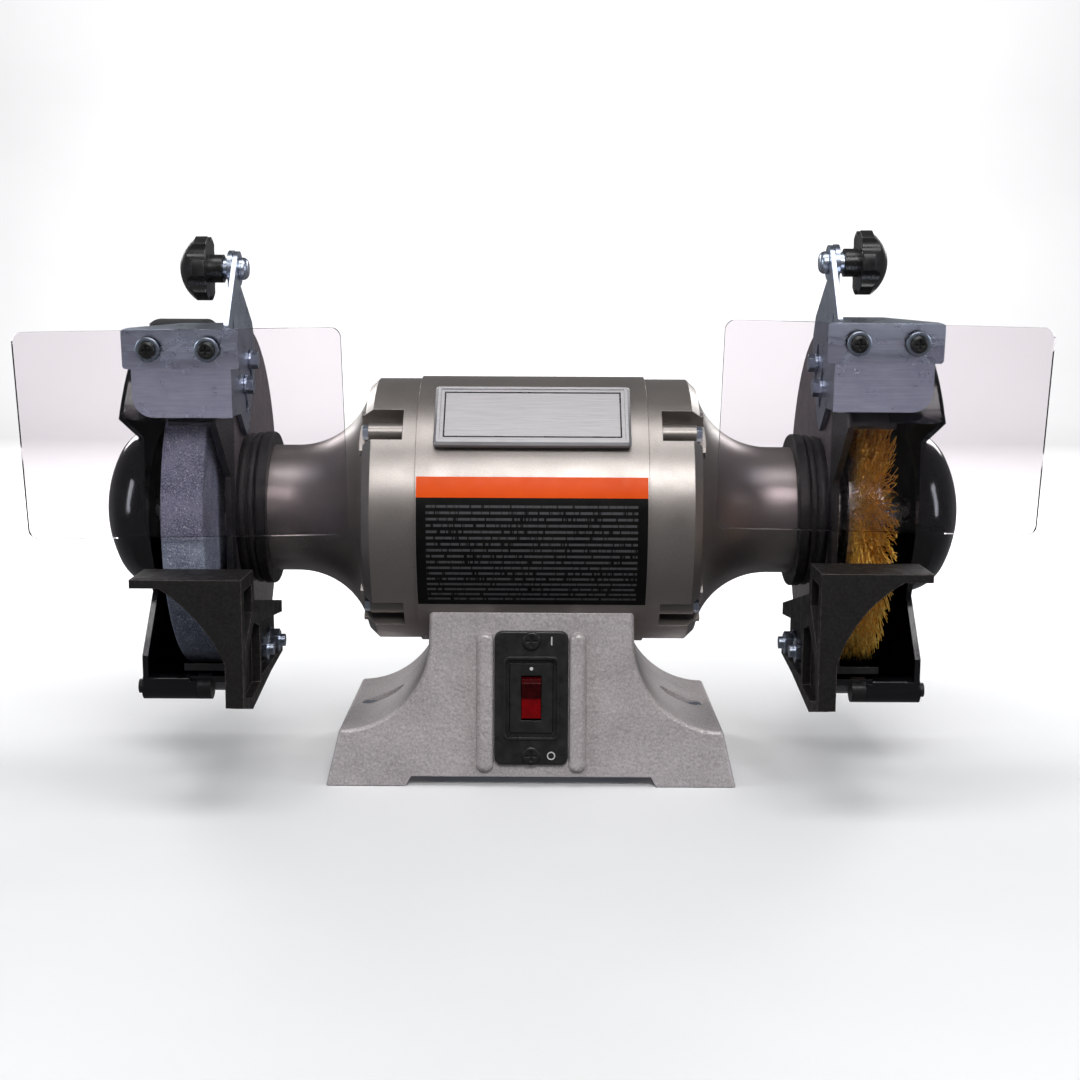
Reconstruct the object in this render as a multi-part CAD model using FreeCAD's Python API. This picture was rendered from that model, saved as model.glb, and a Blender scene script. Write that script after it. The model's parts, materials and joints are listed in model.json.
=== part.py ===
"""Bench grinder with a grinding wheel on the left and a wire wheel on the right, in millimetres.

Every shape is drawn about the spindle: X along it, -Y towards the user, Z up.
save() lifts each shape by SPINDLE_Z, so the origin ends up on the bench, between the two bench holes.
Pieces that come in pairs are drawn on the right side and mirrored for the left.
"""
import FreeCAD, Part
import math
import os

V = FreeCAD.Vector
RIGHT = 1
LEFT = -1
X_AXIS = V(1, 0, 0)
Y_AXIS = V(0, 1, 0)
Z_AXIS = V(0, 0, 1)

# Driving dimensions
SPINDLE_Z = 166.0          # spindle height over the bench
FAR = 400.0                # larger than the machine, for cutting tools
RUNNING_GAP = 0.2          # between flat faces that move past each other

SHELL_R = 86.0             # motor shell
SHELL_WALL = 6.0
SHELL_HALF = 71.0
BELL_R = 84.5              # end bells
BELL_END = 98.5
FLARE_R = 50.0
FLARE_X = 152.5
FLARE_CENTRE_R = 91.0
NECK_R = 41.0
NECK_FLANGE_R = 46.5
NECK_FLANGE_X = 178.0
GUARD_SCREW_R = 41.0       # circle of the three screws that hold each guard
GUARD_X = 186.0            # inner face of the guard wall
POCKET_ANGLE = 45.0        # through bolts sit at four of these angles
BOLT_CIRCLE_R = 76.0
BOLT_R = 2.5

STATOR_HALF = 40.0
STATOR_BORE_R = 50.0
ROTOR_R = 49.5
SHAFT_R = 12.0
ROTOR_SEAT_R = 16.0
SHOULDER_X = 182.0         # the wheels' inner flanges bear on this step of the shaft
JOURNAL_R = 10.0
ARBOR_R = 7.94
BEARING_X = 148.0
BEARING_WIDTH = 14.0
BEARING_R = 23.5
RING_WALL = 3.5
BALL_COUNT = 8
BALL_GAP = 0.05

WHEEL_R = 101.6
WHEEL_WIDTH = 25.4
WHEEL_X = 207.5            # middle of each wheel
BRUSH_R = 99.0
BRUSH_WIDTH = 22.0
BRUSH_ROOT_R = 52.0
FLANGE_R = 36.0

GUARD_R = 119.5
GUARD_WALL = 4.0
RIM_WALL = 3.5
SPLIT_X = 214.0            # where the casting meets the cover
COVER_R = 122.0
COVER_X = 243.0
DOME_R = 53.0
DOME_X = 275.0
LUG_R = 8.0
LUG_X = 201.0
LUG_CIRCLE_R = 120.3
LUG_ANGLES = (242.8, 50.0, -28.0)
NOSE = (-105.0, 66.0)      # front end of the rim, as (y, z)
LIP = (-60.0, -96.0)       # lower end of the rim

BASE_TOP_Z = -57.0
BASE_TOP_HALF = 63.2
BASE_ARC_R = 56.0
BASE_ARC_X = 120.0
BASE_ARC_Z = -75.0
BASE_FOOT_HALF = 128.3
BASE_FRONT_TOP = 64.4
BASE_FRONT_BOTTOM = 72.5
ARCH_HALF = 75.0
ARCH_RISE = 6.0
BENCH_Z = -SPINDLE_Z
FOOT_BOLT_X = 107.0
BENCH_HOLE_X = 92.0
BENCH_HOLE_R = 4.2
FOOT_FLOOR_Z = -136.0
FACE_SLOPE = math.degrees(math.atan2(BASE_FRONT_BOTTOM - BASE_FRONT_TOP, BASE_TOP_Z - BENCH_Z))
PLATE_SEAT_Z = BENCH_Z + ARCH_RISE
PLATE_THICK = 1.5          # cover plate under the base
PLATE_SCREWS = (65.0, 40.0)
GLAND = (38.0, -128.0)     # cable gland, as (x, z)

SWITCH_Z = -110.0          # middle of the switch plate
SWITCH_WIDTH = 46.0
SWITCH_HEIGHT = 84.0
TOGGLE_R = 13.6
TOGGLE_TILT = 12.0
TOGGLE_DEPTH = 2.5         # pivot behind the face of the base
SWITCH_SCREW_Z = 36.0      # either side of the middle of the plate

SHEET = 3.0                # bracket and shield sheet
RIGHT_SET_LIFT = 5.5       # the right-hand rest and shield are set this much higher
PIVOT = (-50.0, 153.0)     # shield pivot on the left side, as (y, z)
SLOT_DIRECTION = V(0, 0.34, -0.94)
SHIELD_TILT = 4.9
SHIELD_SKEW = 1.2
SHIELD_WIDTH = 189.0
SHIELD_HEIGHT = 122.0
SHIELD_X = 204.5
FLANGE_IN = 169.5
FLANGE_OUT = 236.8
FLANGE_HEIGHT = 23.0
FLANGE_REACH = 64.3        # pivot to the back of the front flange
FLANGE_DROP = 30.0         # pivot to the top of the front flange
SHIELD_SCREW_X = (187.0, 221.0)
WING_X = 182.3             # inner face of the arrestor's wing
ARM_X = 179.1              # inner face of the shield bracket's arm
KNOB_X = 188.7

TABLE_IN = 165.6
TABLE_OUT = 229.7
TABLE_FRONT = -142.0
TABLE_BACK = -104.0
TABLE_Z = -24.0
TABLE_THICK = 5.0
REST_WEB_X = 176.0
REST_BOLTS = ((-22.0, -84.0), (-66.0, -80.0))
REST_OUT_TRAVEL = 12.0
REST_IN_TRAVEL = 3.5
REST_POCKET_X = 171.0      # floor of the pockets in the web of a rest
ARRESTOR_BOLTS = ((-5.0, 96.0), (-23.0, 81.0))
TONGUE_IN = 175.0
TONGUE_OUT = 233.0


# Basic shapes
def box(x0, x1, y0, y1, z0, z1):
    return Part.makeBox(x1 - x0, y1 - y0, z1 - z0, V(x0, y0, z0))


def rod(point, direction, radius, length):
    return Part.makeCylinder(radius, length, point, direction)


def rod_x(x0, x1, radius, y=0.0, z=0.0):
    return rod(V(x0, y, z), X_AXIS, radius, x1 - x0)


def ring_x(x0, x1, outer, inner, y=0.0, z=0.0):
    return rod_x(x0, x1, outer, y, z).cut(rod_x(x0 - 1, x1 + 1, inner, y, z))


def prism_x(points, x0, x1):
    """A (y, z) outline drawn out along X."""
    corners = [V(x0, y, z) for y, z in points]
    face = Part.Face(Part.makePolygon(corners + corners[:1]))
    return face.extrude(V(x1 - x0, 0, 0))


def prism_y(points, y0, y1):
    """An (x, z) outline drawn out along Y."""
    corners = [V(x, y0, z) for x, z in points]
    face = Part.Face(Part.makePolygon(corners + corners[:1]))
    return face.extrude(V(0, y1 - y0, 0))


def line(a, b):
    return Part.LineSegment(a, b).toShape()


def arc(a, middle, b):
    return Part.Arc(a, middle, b).toShape()


def turned(edges):
    """A closed outline of (x, radius) edges turned about the spindle."""
    face = Part.Face(Part.Wire(edges))
    return face.revolve(V(0, 0, 0), X_AXIS, 360)


def turned_polygon(points):
    corners = [V(x, 0, r) for x, r in points]
    return turned(Part.makePolygon(corners + corners[:1]).Edges)


def hex_x(x0, x1, across_flats, y, z):
    """A hexagonal head or nut along X."""
    radius = across_flats / math.sqrt(3)
    points = []
    for i in range(6):
        angle = math.radians(60 * i + 30)
        points.append((y + radius * math.cos(angle), z + radius * math.sin(angle)))
    return prism_x(points, x0, x1)


def rounded_plate(width, height, thickness, radius):
    """An upright plate, centred, with its front at y = 0 and its back at y = thickness."""
    plate = box(-width / 2, width / 2, 0, thickness, -height / 2, height / 2)
    edges = [e for e in plate.Edges if abs(e.tangentAt(e.FirstParameter).y) > 0.9]
    return plate.makeFillet(radius, edges)


def fuse(shapes):
    return shapes[0].multiFuse(shapes[1:]).removeSplitter()


def group(shapes):
    return Part.makeCompound(shapes)


def on_side(shape, side):
    return shape if side == RIGHT else shape.mirror(V(0, 0, 0), X_AXIS)


def lift(side):
    return RIGHT_SET_LIFT if side == RIGHT else 0.0


def raised(shape, height):
    shape.translate(V(0, 0, height))
    return shape


def at_angle(radius, angle):
    """A (y, z) point about the spindle, with 0 degrees at the back and 90 at the top."""
    a = math.radians(angle)
    return radius * math.cos(a), radius * math.sin(a)


def save(name, shape):
    placed = shape.copy()
    placed.translate(V(0, 0, SPINDLE_Z))
    placed.exportStep("parts/" + name + ".step")


def bolt_points():
    return [at_angle(BOLT_CIRCLE_R, POCKET_ANGLE + 90 * i) for i in range(4)]


def guard_screw_points():
    return [at_angle(GUARD_SCREW_R, 90 + 120 * i) for i in range(3)]


def plate_screw_points():
    x, y = PLATE_SCREWS
    return [(-x, -y), (-x, y), (x, -y), (x, y)]


# Base
def front_y(z):
    """How far the base's front and back stand out from the middle at height z."""
    share = (BASE_TOP_Z - z) / (BASE_TOP_Z - BENCH_Z)
    return BASE_FRONT_TOP + share * (BASE_FRONT_BOTTOM - BASE_FRONT_TOP)


def base_outline():
    """The front view of the base: a flared block with two concave flanks."""
    top = -45.0
    foot_z = BASE_ARC_Z - BASE_ARC_R
    sweep = BASE_ARC_R * math.sqrt(0.5)
    edges = []
    for side in (RIGHT, LEFT):
        a = V(side * BASE_TOP_HALF, 0, top)
        b = V(side * (BASE_ARC_X - BASE_ARC_R), 0, BASE_ARC_Z)
        middle = V(side * (BASE_ARC_X - sweep), 0, BASE_ARC_Z - sweep)
        c = V(side * BASE_ARC_X, 0, foot_z)
        d = V(side * BASE_FOOT_HALF, 0, BENCH_Z)
        edges += [line(a, b), arc(b, middle, c), line(c, d)]
    edges.append(line(V(-BASE_TOP_HALF, 0, top), V(BASE_TOP_HALF, 0, top)))
    edges.append(line(V(-BASE_FOOT_HALF, 0, BENCH_Z), V(BASE_FOOT_HALF, 0, BENCH_Z)))
    return Part.Wire(Part.__sortEdges__(edges))


def base_casting():
    deep = BASE_FRONT_BOTTOM + 10
    body = Part.Face(base_outline()).extrude(V(0, 2 * deep, 0))
    body.translate(V(0, -deep, 0))
    top = BASE_TOP_Z + 12
    slopes = prism_x([(-front_y(top), top), (front_y(top), top), (front_y(BENCH_Z), BENCH_Z),
                      (-front_y(BENCH_Z), BENCH_Z)], -FAR, FAR)
    body = body.common(slopes)
    outer = [e for e in body.Edges if e.CenterOfMass.z > BENCH_Z + 1 and e.CenterOfMass.z < top - 1]
    body = body.makeFillet(2.5, outer)
    body = body.cut(rod_x(-FAR, FAR, SHELL_R))
    for side in (RIGHT, LEFT):
        body = body.fuse(on_side(rounded_rib(), side))
    body = body.cut(arch_cut())
    body = body.cut(base_hollow())
    for side in (RIGHT, LEFT):
        for cut in foot_cuts():
            body = body.cut(on_side(cut, side))
    body = body.cut(face_tool(box(-15, 15, -5, 30, -24, 24)))
    for z in (SWITCH_SCREW_Z, -SWITCH_SCREW_Z):
        body = body.cut(face_tool(rod(V(0, -5, z), Y_AXIS, 2.1, 12)))
    for x, y in plate_screw_points():
        body = body.cut(rod(V(x, y, BENCH_Z), Z_AXIS, 1.7, ARCH_RISE + 10))
    gland_y = front_y(GLAND[1]) - 20
    return body.cut(rod(V(GLAND[0], gland_y, GLAND[1]), Y_AXIS, 7.0, 40))


def rounded_rib():
    """One of the upright ribs beside the switch, from under the motor to the bottom."""
    rib = rounded_plate(10.8, 88, 20, 5)
    edges = [e for e in rib.Edges if abs(e.CenterOfMass.y) < 0.01]
    rib = rib.makeFillet(3.5, edges)
    rib.translate(V(28.9, -4.0, -3.0))
    return face_tool(rib)


def face_tool(shape):
    """Moves a shape drawn about the middle of the switch plate onto the base's sloping front."""
    placed = shape.copy()
    placed.rotate(V(0, 0, 0), X_AXIS, -FACE_SLOPE)
    placed.translate(V(0, -front_y(SWITCH_Z), SWITCH_Z))
    return placed


def arch_cut():
    points = [(-ARCH_HALF - 4, BENCH_Z - 1), (-ARCH_HALF, PLATE_SEAT_Z), (ARCH_HALF, PLATE_SEAT_Z),
              (ARCH_HALF + 4, BENCH_Z - 1)]
    recess = box(-70, 70, -62, 62, PLATE_SEAT_Z - 1, PLATE_SEAT_Z + PLATE_THICK)
    return prism_y(points, -FAR, FAR).fuse(recess)


def base_hollow():
    points = [(-55, -94), (55, -94), (64, -108), (64, -162), (-64, -162), (-64, -108)]
    return prism_y(points, -56, 56)


def foot_cuts():
    """The slotted pocket on top of a foot, its two holes and the hollows beneath."""
    radius = 8.0
    height = 30
    centres = (BENCH_HOLE_X - 7 + radius, FOOT_BOLT_X + 6 - radius)
    pocket = box(*centres, -radius, radius, FOOT_FLOOR_Z, FOOT_FLOOR_Z + height)
    ends = [rod(V(x, 0, FOOT_FLOOR_Z), Z_AXIS, radius, height) for x in centres]
    bench_hole = rod(V(BENCH_HOLE_X, 0, BENCH_Z - 1), Z_AXIS, BENCH_HOLE_R, 40)
    bolt_hole = rod(V(FOOT_BOLT_X, 0, BENCH_Z - 1), Z_AXIS, 3.0, 40)
    hollows = [box(82, 116, s - 23, s + 23, BENCH_Z - 1, -142) for s in (40, -40)]
    return [pocket.multiFuse(ends), bench_hole, bolt_hole] + hollows


def base_plate():
    plate = box(-69.5, 69.5, -61.5, 61.5, PLATE_SEAT_Z, PLATE_SEAT_Z + PLATE_THICK)
    for x, y in plate_screw_points():
        plate = plate.cut(rod(V(x, y, PLATE_SEAT_Z - 1), Z_AXIS, 3.5, 4))
    return plate


def base_plate_screws():
    screws = []
    for x, y in plate_screw_points():
        head = rod(V(x, y, PLATE_SEAT_Z), Z_AXIS, 3.4, PLATE_THICK)
        shank = rod(V(x, y, PLATE_SEAT_Z + PLATE_THICK), Z_AXIS, 1.6, 8)
        screws.append(head.fuse(shank))
    return group(screws)


def foot_bolts():
    bolts = []
    for side in (RIGHT, LEFT):
        x = FOOT_BOLT_X
        shank = rod(V(x, 0, BENCH_Z + 2), Z_AXIS, 2.9, FOOT_FLOOR_Z - BENCH_Z - 1)
        washer = rod(V(x, 0, FOOT_FLOOR_Z), Z_AXIS, 5.9, 1.2)
        head = hex_x(0, 4.2, 9.8, 0, 0)
        head.rotate(V(0, 0, 0), Y_AXIS, -90)
        head.translate(V(x, 0, FOOT_FLOOR_Z + 1.2))
        bolts.append(on_side(fuse([shank, washer, head]), side))
    return group(bolts)


def cable_gland():
    y = front_y(GLAND[1])
    centre = V(GLAND[0], y + 0.8, GLAND[1])
    barrel = rod(centre + V(0, -18, 0), Y_AXIS, 6.9, 18)
    collar = rod(centre, Y_AXIS, 10.0, 4)
    dome = Part.makeCone(8.6, 6.4, 9, centre + V(0, 4, 0), Y_AXIS)
    nut = rod(centre + V(0, -18, 0), Y_AXIS, 9.5, 3)
    bore = rod(centre + V(0, -20, 0), Y_AXIS, 4.0, 40)
    return fuse([barrel, collar, dome, nut]).cut(bore)


# Switch
def switch_plate():
    plate = rounded_plate(SWITCH_WIDTH, SWITCH_HEIGHT, 3.5, 5)
    edges = [e for e in plate.Edges if abs(e.CenterOfMass.y) < 0.01]
    plate = plate.makeFillet(1.2, edges)
    plate.translate(V(0, -3.5, 0))
    recess = rounded_plate(33, 50, 2.0, 3)
    recess.translate(V(0, -3.5, 0))
    lip = rounded_plate(35, 52, 1.2, 4)
    lip = lip.cut(rounded_plate(32, 49, 1.2, 3))
    lip.translate(V(0, -4.4, 0))
    plate = plate.cut(recess).fuse(lip)
    plate = plate.cut(box(-13.5, 13.5, -5, 1, -22, 22))
    for z in (SWITCH_SCREW_Z, -SWITCH_SCREW_Z):
        plate = plate.cut(rod(V(0, -6, z), Y_AXIS, 2.2, 8))
    return face_tool(plate)


def switch_body():
    body = box(-13.3, 13.3, -2.5, 28, -21.8, 21.8)
    well = box(-6.3, 6.3, -4, 13, -TOGGLE_R - 0.5, TOGGLE_R + 0.5)
    tabs = [box(x - 0.4, x + 0.4, 28, 36, -3, 3) for x in (-7, 0, 7)]
    return face_tool(body.cut(well).multiFuse(tabs))


def toggle_centre():
    """The rocker's pivot, inside the switch body."""
    centre = V(0, TOGGLE_DEPTH, 0)
    spin = FreeCAD.Rotation(X_AXIS, -FACE_SLOPE)
    return spin.multVec(centre) + V(0, -front_y(SWITCH_Z), SWITCH_Z)


def switch_toggle():
    front = 7.2
    valley = 4.6
    back = -3.0
    edge = math.sqrt(TOGGLE_R ** 2 - front ** 2)
    heel = math.sqrt(TOGGLE_R ** 2 - back ** 2)
    tip = [V(0, -front, side * edge) for side in (1, -1)]
    rear = [V(0, -back, side * heel) for side in (1, -1)]
    side_points = [V(0, 0, side * TOGGLE_R) for side in (1, -1)]
    edges = [arc(tip[0], side_points[0], rear[0]), line(rear[0], rear[1]),
             arc(rear[1], side_points[1], tip[1]), line(tip[1], V(0, -valley, 0)),
             line(V(0, -valley, 0), tip[0])]
    rocker = Part.Face(Part.Wire(edges)).extrude(V(12, 0, 0))
    rocker.translate(V(-6, 0, 0))
    rocker.rotate(V(0, 0, 0), X_AXIS, TOGGLE_TILT)
    rocker.translate(V(0, TOGGLE_DEPTH, 0))
    return face_tool(rocker)


def switch_screws():
    screws = []
    for z in (SWITCH_SCREW_Z, -SWITCH_SCREW_Z):
        head = rod(V(0, -5.6, z), Y_AXIS, 5.8, 2.1)
        edges = [e for e in head.Edges if abs(e.CenterOfMass.y + 5.6) < 0.01]
        head = head.makeFillet(1.2, edges)
        for width, depth in ((7.0, 1.4), (1.4, 7.0)):
            head = head.cut(box(-width / 2, width / 2, -6, -4.5, z - depth / 2, z + depth / 2))
        shank = rod(V(0, -3.5, z), Y_AXIS, 2.0, 9)
        screws.append(face_tool(head.fuse(shank)))
    return group(screws)


def capacitor():
    can = rod_x(-32, 32, 17.0, 16, -138)
    tags = [box(32, 40, y - 3, y + 3, -138.5, -137.7) for y in (11, 21)]
    return can.multiFuse(tags)


def capacitor_clamp():
    plate_top = PLATE_SEAT_Z + PLATE_THICK
    strap = ring_x(-8, 8, 18.4, 17.0, 16, -138)
    foot = box(-8, 8, -12, 44, plate_top, plate_top + 3.2)
    return strap.fuse(foot.cut(rod_x(-9, 9, 17.0, 16, -138)))


# Motor
def motor_shell():
    tube = ring_x(-SHELL_HALF, SHELL_HALF, SHELL_R, SHELL_R - SHELL_WALL)
    plinth = nameplate_tool(box(-56, 56, -21, 21, SHELL_R - 10, 87))
    return tube.fuse(plinth).cut(rod_x(-FAR, FAR, SHELL_R - SHELL_WALL))


def nameplate_tool(shape):
    """Turns a shape drawn lying flat over the spindle towards the user, to the nameplate's place."""
    placed = shape.copy()
    placed.rotate(V(0, 0, 0), X_AXIS, 43)
    return placed


def nameplate():
    plate = box(-60, 60, -24.5, 24.5, 87, 90.5)
    upright = [e for e in plate.Edges if abs(e.tangentAt(e.FirstParameter).z) > 0.9]
    plate = plate.makeFillet(2.5, upright)
    rim = [e for e in plate.Edges if abs(e.CenterOfMass.z - 90.5) < 0.01]
    plate = plate.makeChamfer(1.6, rim)
    panel = box(-56.5, 56.5, -21, 21, 89.9, 92)
    return nameplate_tool(plate.cut(panel))


def safety_label():
    half = 70.0
    band = ring_x(-half, half, SHELL_R + 0.35, SHELL_R)
    reach = 2 * SHELL_R
    top = at_angle(reach, 180 - 20)
    bottom = at_angle(reach, 180 + 36)
    return band.common(prism_x([(0, 0), top, (-reach, 0), bottom], -half, half))


def stator_core():
    core = ring_x(-STATOR_HALF, STATOR_HALF, SHELL_R - SHELL_WALL, STATOR_BORE_R)
    for y, z in bolt_points():
        core = core.cut(rod_x(-FAR, FAR, 5.0, y, z))
    return core


def stator_windings():
    rings = []
    for side in (RIGHT, LEFT):
        ring = ring_x(STATOR_HALF, STATOR_HALF + 22, 70, 52)
        edges = [e for e in ring.Edges if abs(e.CenterOfMass.x - STATOR_HALF - 22) < 0.01]
        rings.append(on_side(ring.makeFillet(6, edges), side))
    return group(rings)


def end_bell(side):
    corner_r = 79.5
    corner_x = FLARE_X - math.sqrt(FLARE_R ** 2 - (FLARE_CENTRE_R - corner_r) ** 2)
    turn = math.radians(45)
    inner_r = FLARE_R + 5.5
    shell_in = BELL_R - 6.5
    inner_x = FLARE_X - math.sqrt(inner_r ** 2 - (FLARE_CENTRE_R - shell_in) ** 2)
    seat = BEARING_X + BEARING_WIDTH
    flare_middle = V(FLARE_X - FLARE_R * math.cos(turn), 0, FLARE_CENTRE_R - FLARE_R * math.sin(turn))
    inner_middle = V(FLARE_X - inner_r * math.cos(turn), 0, FLARE_CENTRE_R - inner_r * math.sin(turn))
    outer = [V(SHELL_HALF, 0, BELL_R), V(BELL_END, 0, BELL_R), V(corner_x, 0, corner_r)]
    neck = [V(FLARE_X, 0, NECK_R), V(NECK_FLANGE_X, 0, NECK_R), V(NECK_FLANGE_X, 0, NECK_FLANGE_R),
            V(GUARD_X, 0, NECK_FLANGE_R), V(GUARD_X, 0, 30), V(seat + 8, 0, 30), V(seat + 8, 0, 19),
            V(seat, 0, 19), V(seat, 0, BEARING_R), V(BEARING_X - 1, 0, BEARING_R), V(BEARING_X - 1, 0, 35)]
    inner_end = V(FLARE_X - 12, 0, FLARE_CENTRE_R - math.sqrt(inner_r ** 2 - 144))
    inner_start = V(inner_x, 0, shell_in)
    neck.append(inner_end)
    edges = [line(outer[0], outer[1]), line(outer[1], outer[2]), arc(outer[2], flare_middle, neck[0])]
    edges += [line(a, b) for a, b in zip(neck, neck[1:])]
    edges += [arc(inner_end, inner_middle, inner_start), line(inner_start, V(SHELL_HALF, 0, shell_in)),
              line(V(SHELL_HALF, 0, shell_in), outer[0])]
    bell = turned(edges)
    for i in range(4):
        bell = bolt_pocket(bell, POCKET_ANGLE + 90 * i)
    for y, z in guard_screw_points():
        bell = bell.cut(rod_x(NECK_FLANGE_X, GUARD_X + 1, 2.2, y, z))
    return on_side(bell, side)


def bolt_pocket(bell, angle):
    """Adds the pocket and screw boss that hold one through bolt."""
    block = box(76, 106, 62, 80, -16, 16)
    cut = box(79.6, FAR, 69, FAR, -12, 12)
    keep_out = box(60, 76, 50, 80, -20, 20)
    boss = rod_x(76, 101, 5.5, BOLT_CIRCLE_R, 0)
    hole = rod_x(60, 110, BOLT_R + 0.1, BOLT_CIRCLE_R, 0)
    tools = [block, cut, boss, hole, keep_out]
    for tool in tools:
        tool.rotate(V(0, 0, 0), X_AXIS, angle)
    envelope = rod_x(76, BELL_END, BELL_R).fuse(rod_x(BELL_END, 106, 79))
    bell = bell.fuse(tools[0].common(envelope))
    return bell.cut(tools[1]).fuse(tools[2]).cut(tools[3])


def through_bolts():
    bolts = []
    for y, z in bolt_points():
        shank = rod_x(-101, 104, BOLT_R, y, z)
        head = hex_x(-104.6, -101, 8, y, z)
        bolts.append(shank.fuse(head))
    return group(bolts)


def through_nuts():
    return group([hex_x(101, 104.6, 8, y, z).cut(rod_x(100, 106, BOLT_R, y, z)) for y, z in bolt_points()])


def wave_washer():
    x = BEARING_X - 1
    return ring_x(x - 1.2, x, 23.3, 20.6).fuse(ring_x(x - 1.2, x, 23.4, 23.0))


def bearing_outer_rings():
    ring = ring_x(BEARING_X, BEARING_X + BEARING_WIDTH, BEARING_R, BEARING_R - RING_WALL)
    return group([on_side(ring, side) for side in (RIGHT, LEFT)])


def bearing_inner_rings():
    ring = ring_x(BEARING_X, BEARING_X + BEARING_WIDTH, JOURNAL_R + RING_WALL, JOURNAL_R)
    return group([on_side(ring, side) for side in (RIGHT, LEFT)])


def bearing_balls():
    gap = BEARING_R - 2 * RING_WALL - JOURNAL_R
    pitch_r = JOURNAL_R + RING_WALL + gap / 2
    balls = []
    for side in (RIGHT, LEFT):
        for i in range(BALL_COUNT):
            y, z = at_angle(pitch_r, 360 * i / BALL_COUNT)
            x = side * (BEARING_X + BEARING_WIDTH / 2)
            balls.append(Part.makeSphere(gap / 2 - BALL_GAP, V(x, y, z)))
    return group(balls)


# Spindle
def spindle_shaft():
    half = [(0, 0), (0, ROTOR_SEAT_R), (60, ROTOR_SEAT_R), (60, SHAFT_R), (BEARING_X, SHAFT_R),
            (BEARING_X, JOURNAL_R), (SHOULDER_X, JOURNAL_R), (SHOULDER_X, ARBOR_R), (244, ARBOR_R),
            (245.5, ARBOR_R - 1.5), (245.5, 0)]
    halves = [on_side(turned_polygon(half), side) for side in (RIGHT, LEFT)]
    return fuse(halves)


def rotor_core():
    core = ring_x(-STATOR_HALF, STATOR_HALF, ROTOR_R, ROTOR_SEAT_R)
    ends = [on_side(ring_x(STATOR_HALF, STATOR_HALF + 6, 46, 34), side) for side in (RIGHT, LEFT)]
    return fuse([core] + ends)


def grinding_wheel():
    inner = WHEEL_X - WHEEL_WIDTH / 2
    wheel = ring_x(inner, inner + WHEEL_WIDTH, WHEEL_R, ARBOR_R)
    rims = [e for e in wheel.Edges if e.BoundBox.ZMax > WHEEL_R - 1 and e.BoundBox.XLength < 0.1]
    return on_side(wheel.makeFillet(1.0, rims), LEFT)


def wire_wheel_hub():
    inner = WHEEL_X - BRUSH_WIDTH / 2
    outer = WHEEL_X + BRUSH_WIDTH / 2
    flange_in = WHEEL_X - WHEEL_WIDTH / 2
    flange_out = WHEEL_X + WHEEL_WIDTH / 2
    points = [(flange_in, ARBOR_R), (flange_in, 30), (inner + 1, 36), (inner + 1, BRUSH_ROOT_R),
              (outer - 1, BRUSH_ROOT_R), (outer - 1, 36), (flange_out, 30), (flange_out, ARBOR_R)]
    return turned_polygon(points)


def wire_brush():
    half = BRUSH_WIDTH / 2
    return ring_x(WHEEL_X - half, WHEEL_X + half, BRUSH_R, BRUSH_ROOT_R)


def inner_flanges():
    face = WHEEL_X - WHEEL_WIDTH / 2
    points = [(SHOULDER_X, ARBOR_R), (SHOULDER_X, 14), (face - 3.4, 14), (face - 3.4, FLANGE_R), (face, FLANGE_R),
              (face, ARBOR_R)]
    flange = turned_polygon(points)
    return group([on_side(flange, side) for side in (RIGHT, LEFT)])


def outer_flanges():
    face = WHEEL_X + WHEEL_WIDTH / 2
    points = [(face, ARBOR_R), (face, FLANGE_R), (face + 2.5, FLANGE_R), (face + 4, 22), (face + 6, 20),
              (face + 6, ARBOR_R)]
    flange = turned_polygon(points)
    return group([on_side(flange, side) for side in (RIGHT, LEFT)])


def spindle_nuts():
    start = WHEEL_X + WHEEL_WIDTH / 2 + 6
    nut = hex_x(start, start + 13, 24, 0, 0).cut(rod_x(start - 1, start + 14, ARBOR_R))
    return group([on_side(nut, side) for side in (RIGHT, LEFT)])


# Guards
def casting_mouth():
    """The open front of the guard's inner half."""
    points = [(-FAR, NOSE[1]), NOSE, (-57, 26), (-57, -55), (-76, -68), (-76, -92), LIP, (LIP[0], -FAR),
              (-FAR, -FAR)]
    return prism_x(points, 150, 300)


def cover_mouth():
    """The open front of the guard's cover, which gives the wheel's side more air."""
    points = [(-FAR, NOSE[1]), NOSE, (-55, 50), (-57, 0), (-31, -51), (-63, -86), (LIP[0], -FAR),
              (-FAR, -FAR)]
    return prism_x(points, 150, 300)


def lug_points():
    return [at_angle(LUG_CIRCLE_R, angle) for angle in LUG_ANGLES]


def guard_casting(side):
    wall = rod_x(GUARD_X, GUARD_X + GUARD_WALL, GUARD_R)
    rim = ring_x(GUARD_X, SPLIT_X, GUARD_R, GUARD_R - RIM_WALL)
    guard = fuse([wall, rim])
    edges = [e for e in guard.Edges if e.BoundBox.XMax < GUARD_X + 0.1 and e.BoundBox.ZMax > GUARD_R - 1]
    guard = guard.makeFillet(4.0, edges)
    guard = guard.cut(casting_mouth())
    for y, z in lug_points():
        lug = rod_x(LUG_X, SPLIT_X - 4.2, LUG_R, y, z)
        guard = guard.fuse(lug).cut(rod_x(LUG_X + 2, SPLIT_X, 2.4, y, z))
    for y, z in REST_BOLTS:
        boss = rod_x(REST_WEB_X + RUNNING_GAP, GUARD_X + GUARD_WALL, 9.0, y, z)
        guard = guard.fuse(boss).cut(rod_x(100, GUARD_X + 10, 4.1, y, z))
    for y, z in ARRESTOR_BOLTS:
        guard = guard.cut(rod_x(100, GUARD_X + 10, 3.1, y, z))
    guard = guard.cut(rod_x(100, GUARD_X + 10, 16.0))
    for y, z in guard_screw_points():
        guard = guard.cut(rod_x(GUARD_X - 1, GUARD_X + 10, 2.6, y, z))
    return on_side(guard, side)


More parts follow.
